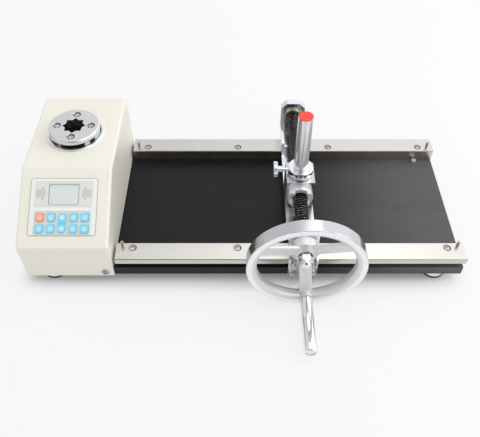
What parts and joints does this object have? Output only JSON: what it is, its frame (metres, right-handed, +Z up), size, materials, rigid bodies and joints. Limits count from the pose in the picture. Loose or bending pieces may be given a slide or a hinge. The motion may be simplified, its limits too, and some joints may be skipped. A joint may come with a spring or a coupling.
{
  "type": "torque wrench calibrator",
  "caption": "Bench instrument: a star-socket torque drive and a display in a housing, with a handwheel-driven screw carriage and reaction post that slide on rails.",
  "frame": {"origin": "on the bench, under the middle of the whole instrument", "axes": "+X along the rails, away from the housing; -Y towards the person who turns the handwheel; +Z up"},
  "size_m": [0.7046, 0.465, 0.237],
  "materials": {
    "ivory_paint": "smooth powder coat",
    "black_coat": "satin black coat",
    "rail_steel": "ground and brushed",
    "chrome_steel": "hard chrome, satin to bright",
    "black_oxide": "black oxide, oiled",
    "zinc_steel": "bright zinc",
    "wheel_iron": "cast grey spokes, turned and polished rim",
    "bush_bronze": "turned bronze",
    "foot_rubber": "matte",
    "cap_red": "moulded",
    "panel_film": "printed film on a stiff sheet",
    "display_glass": "clear, flush",
    "display_film": "grey-blue liquid crystal",
    "board_green": "solder mask",
    "battery_sleeve": "shrink sleeve",
    "socket_plastic": "moulded",
    "socket_metal": "nickel plated shell",
    "key_orange": "moulded",
    "key_blue": "moulded"
  },
  "bodies": {
    "root": {"base_plate": "black_coat", "front_rail": "rail_steel", "rear_rail": "rail_steel", "rail_screws": "zinc_steel", "stop_pins": "zinc_steel", "plate_screw": "zinc_steel", "foot_cups": "zinc_steel", "foot_pads": "foot_rubber", "foot_screws": "zinc_steel", "housing_cover": "ivory_paint", "cover_screws": "zinc_steel", "trim_ring": "zinc_steel", "drive_flange": "chrome_steel", "flange_screws": "zinc_steel", "torque_sensor": "rail_steel", "sensor_screws": "black_oxide", "panel_overlay": "panel_film", "display_window": "display_glass", "display_module": "display_film", "control_board": "board_green", "board_screws": "zinc_steel", "battery_pack": "battery_sleeve", "switch_body": "socket_plastic", "charge_socket": "socket_plastic", "data_socket": "socket_metal"},
    "carriage": {"carriage_frame": "chrome_steel", "front_bearing_block": "chrome_steel", "rear_bearing_block": "chrome_steel", "block_screws": "zinc_steel", "front_bush": "bush_bronze", "rear_bush": "bush_bronze", "front_keeper": "chrome_steel", "rear_keeper": "chrome_steel", "keeper_screws": "zinc_steel", "lock_screws": "zinc_steel"},
    "spindle": {"lead_screw": "black_oxide", "handwheel": "wheel_iron", "wheel_key": "zinc_steel", "dome_nut": "chrome_steel", "crank_stud": "zinc_steel"},
    "handle": {"crank_handle": "chrome_steel"},
    "nut": {"nut_block": "chrome_steel", "flanged_nut": "chrome_steel", "nut_screws": "zinc_steel", "post_collar": "chrome_steel"},
    "post": {"reaction_post": "chrome_steel", "post_cap": "cap_red"},
    "thumb": {"thumb_screw": "zinc_steel"},
    "rocker": {"power_rocker": "socket_plastic"},
    "key_power_cap": {"key_power": "key_orange"},
    "key_unit_cap": {"key_unit": "key_blue"},
    "key_up_cap": {"key_up": "key_blue"},
    "key_mode_cap": {"key_mode": "key_blue"},
    "key_peak_cap": {"key_peak": "key_blue"},
    "key_zero_cap": {"key_zero": "key_blue"},
    "key_store_cap": {"key_store": "key_blue"},
    "key_down_cap": {"key_down": "key_blue"},
    "key_print_cap": {"key_print": "key_blue"},
    "key_set_cap": {"key_set": "key_blue"}
  },
  "joints": [
    {"name": "carriage_slide", "type": "slide", "parent": "root", "child": "carriage", "axis": [1, 0, 0], "range_m": [-0.255, 0.222]},
    {"name": "handwheel_turn", "type": "hinge", "parent": "carriage", "child": "spindle", "pos_m": [0.0933, 0.049, 0.0935], "axis": [0, -1, 0], "range_deg": [-3810, 5970]},
    {"name": "nut_slide", "type": "slide", "parent": "carriage", "child": "nut", "axis": [0, 1, 0], "range_m": [-0.053, 0.083]},
    {"name": "crank_handle_spin", "type": "hinge", "parent": "spindle", "child": "handle", "pos_m": [0.09871, -0.181, 0.01619], "axis": [0, -1, 0], "continuous": true},
    {"name": "post_lift", "type": "slide", "parent": "nut", "child": "post", "axis": [0, 0, 1], "range_m": [0, 0.012]},
    {"name": "thumb_screw_turn", "type": "hinge", "parent": "nut", "child": "thumb", "pos_m": [0.0523, 0.03925, 0.127], "axis": [-1, 0, 0], "range_deg": [0, 720]},
    {"name": "power_rocker_tilt", "type": "hinge", "parent": "root", "child": "rocker", "pos_m": [-0.2417, 0.198, 0.078], "axis": [1, 0, 0], "range_deg": [0, 12]},
    {"name": "key_power_press", "type": "slide", "parent": "root", "child": "key_power_cap", "axis": [0, 0.4766, -0.8791], "range_m": [0, 0.0006], "stiffness_N_per_m": 1000, "springref_m": -0.0006},
    {"name": "key_unit_press", "type": "slide", "parent": "root", "child": "key_unit_cap", "axis": [0, 0.4766, -0.8791], "range_m": [0, 0.0006], "stiffness_N_per_m": 1000, "springref_m": -0.0006},
    {"name": "key_up_press", "type": "slide", "parent": "root", "child": "key_up_cap", "axis": [0, 0.4766, -0.8791], "range_m": [0, 0.0006], "stiffness_N_per_m": 1000, "springref_m": -0.0006},
    {"name": "key_mode_press", "type": "slide", "parent": "root", "child": "key_mode_cap", "axis": [0, 0.4766, -0.8791], "range_m": [0, 0.0006], "stiffness_N_per_m": 1000, "springref_m": -0.0006},
    {"name": "key_peak_press", "type": "slide", "parent": "root", "child": "key_peak_cap", "axis": [0, 0.4766, -0.8791], "range_m": [0, 0.0006], "stiffness_N_per_m": 1000, "springref_m": -0.0006},
    {"name": "key_zero_press", "type": "slide", "parent": "root", "child": "key_zero_cap", "axis": [0, 0.4766, -0.8791], "range_m": [0, 0.0006], "stiffness_N_per_m": 1000, "springref_m": -0.0006},
    {"name": "key_store_press", "type": "slide", "parent": "root", "child": "key_store_cap", "axis": [0, 0.4766, -0.8791], "range_m": [0, 0.0006], "stiffness_N_per_m": 1000, "springref_m": -0.0006},
    {"name": "key_down_press", "type": "slide", "parent": "root", "child": "key_down_cap", "axis": [0, 0.4766, -0.8791], "range_m": [0, 0.0006], "stiffness_N_per_m": 1000, "springref_m": -0.0006},
    {"name": "key_print_press", "type": "slide", "parent": "root", "child": "key_print_cap", "axis": [0, 0.4766, -0.8791], "range_m": [0, 0.0006], "stiffness_N_per_m": 1000, "springref_m": -0.0006},
    {"name": "key_set_press", "type": "slide", "parent": "root", "child": "key_set_cap", "axis": [0, 0.4766, -0.8791], "range_m": [0, 0.0006], "stiffness_N_per_m": 1000, "springref_m": -0.0006}
  ],
  "couplings": [
    {"joint": "nut_slide", "follows": "handwheel_turn", "m_per_rad": 0.00079577}
  ]
}
